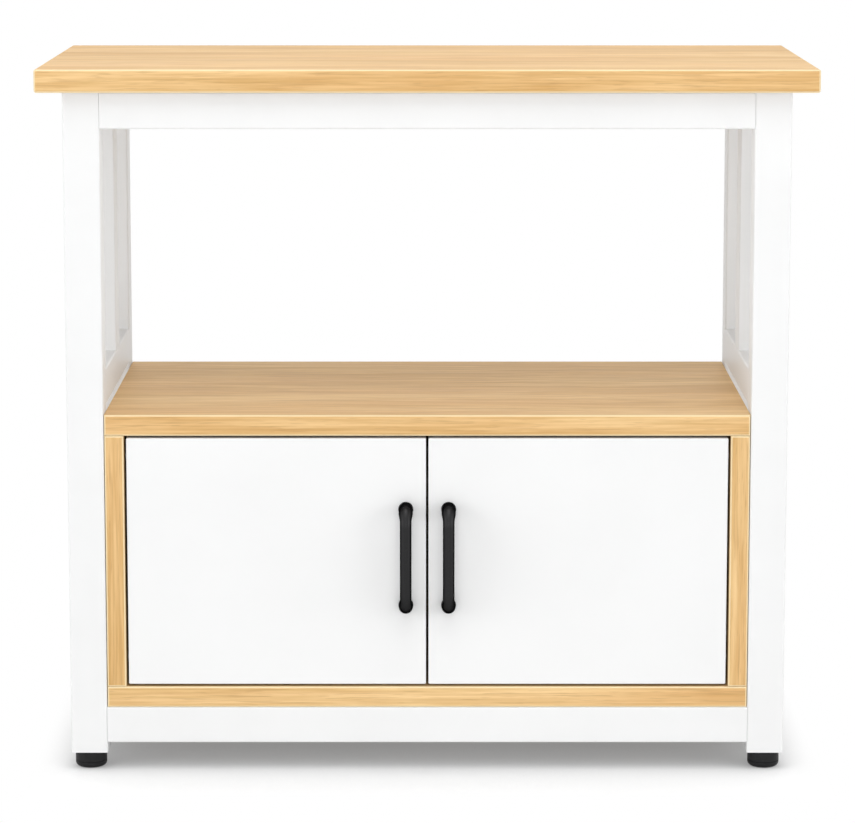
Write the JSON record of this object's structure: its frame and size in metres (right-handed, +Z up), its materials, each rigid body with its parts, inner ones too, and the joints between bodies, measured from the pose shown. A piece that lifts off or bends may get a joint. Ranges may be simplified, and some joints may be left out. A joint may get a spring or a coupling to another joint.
{
  "type": "kitchen storage cabinet",
  "caption": "Free-standing kitchen storage cabinet: white steel tube frame, wooden worktop, open shelf bay and a wooden lower box closed by inset white doors with black bow handles.",
  "frame": {"origin": "on the floor, in the middle of the whole object seen from above", "axes": "+Z up, +X to the right as seen from the doors, +Y from the doors to the back"},
  "size_m": [0.8, 0.412, 0.735],
  "materials": {
    "white_frame": "satin powder coat",
    "wood_board": "satin lacquered light wood",
    "dowel_wood": "raw beech",
    "white_door": "smooth white laminate on board",
    "black_handle": "satin black",
    "black_plastic": "moulded black",
    "white_plastic": "moulded white",
    "steel_fitting": "nickel plated"
  },
  "bodies": {
    "cabinet": {"back_panel": "wood_board", "box_bolts": "steel_fitting", "box_dowels": "dowel_wood", "cabinet_floor": "wood_board", "cabinet_shelf": "wood_board", "foot_plugs": "black_plastic", "front_bottom_rail": "white_frame", "front_top_rail": "white_frame", "hinge_plate_screws": "steel_fitting", "left_bottom_side_rail": "white_frame", "left_front_upright": "white_frame", "left_hinge_plates": "steel_fitting", "left_lower_hinge_arm": "steel_fitting", "left_magnet_catch": "white_plastic", "left_middle_bar": "white_frame", "left_rear_upright": "white_frame", "left_shelf_side_rail": "white_frame", "left_side_board": "wood_board", "left_top_side_rail": "white_frame", "left_upper_hinge_arm": "steel_fitting", "rear_bottom_rail": "white_frame", "rear_top_rail": "white_frame", "right_bottom_side_rail": "white_frame", "right_front_upright": "white_frame", "right_hinge_plates": "steel_fitting", "right_lower_hinge_arm": "steel_fitting", "right_magnet_catch": "white_plastic", "right_middle_bar": "white_frame", "right_rear_upright": "white_frame", "right_shelf_side_rail": "white_frame", "right_side_board": "wood_board", "right_top_side_rail": "white_frame", "right_upper_hinge_arm": "steel_fitting", "worktop": "wood_board", "worktop_screws": "steel_fitting"},
    "left_door": {"left_door": "white_door", "left_handle": "black_handle", "left_handle_screws": "steel_fitting", "left_lower_hinge_cup": "steel_fitting", "left_upper_hinge_cup": "steel_fitting", "left_hinge_pins": "steel_fitting", "left_hinge_cup_screws": "steel_fitting", "left_catch_strike": "steel_fitting"},
    "left_front_foot": {"left_front_foot_pad": "black_plastic", "left_front_foot_stem": "steel_fitting"},
    "left_rear_foot": {"left_rear_foot_pad": "black_plastic", "left_rear_foot_stem": "steel_fitting"},
    "right_door": {"right_door": "white_door", "right_handle": "black_handle", "right_handle_screws": "steel_fitting", "right_lower_hinge_cup": "steel_fitting", "right_upper_hinge_cup": "steel_fitting", "right_hinge_pins": "steel_fitting", "right_hinge_cup_screws": "steel_fitting", "right_catch_strike": "steel_fitting"},
    "right_front_foot": {"right_front_foot_pad": "black_plastic", "right_front_foot_stem": "steel_fitting"},
    "right_rear_foot": {"right_rear_foot_pad": "black_plastic", "right_rear_foot_stem": "steel_fitting"}
  },
  "joints": [
    {"name": "left_door_swing", "type": "hinge", "parent": "cabinet", "child": "left_door", "pos_m": [-0.2895, -0.169, 0.222], "axis": [0, 0, -1], "range_deg": [0, 95]},
    {"name": "right_door_swing", "type": "hinge", "parent": "cabinet", "child": "right_door", "pos_m": [0.2895, -0.169, 0.222], "axis": [0, 0, 1], "range_deg": [0, 95]},
    {"name": "left_front_foot_turn", "type": "hinge", "parent": "cabinet", "child": "left_front_foot", "pos_m": [-0.354, -0.16, 0], "axis": [0, 0, 1], "continuous": true},
    {"name": "left_rear_foot_turn", "type": "hinge", "parent": "cabinet", "child": "left_rear_foot", "pos_m": [-0.354, 0.172, 0], "axis": [0, 0, 1], "continuous": true},
    {"name": "right_front_foot_turn", "type": "hinge", "parent": "cabinet", "child": "right_front_foot", "pos_m": [0.354, -0.16, 0], "axis": [0, 0, 1], "continuous": true},
    {"name": "right_rear_foot_turn", "type": "hinge", "parent": "cabinet", "child": "right_rear_foot", "pos_m": [0.354, 0.172, 0], "axis": [0, 0, 1], "continuous": true}
  ]
}
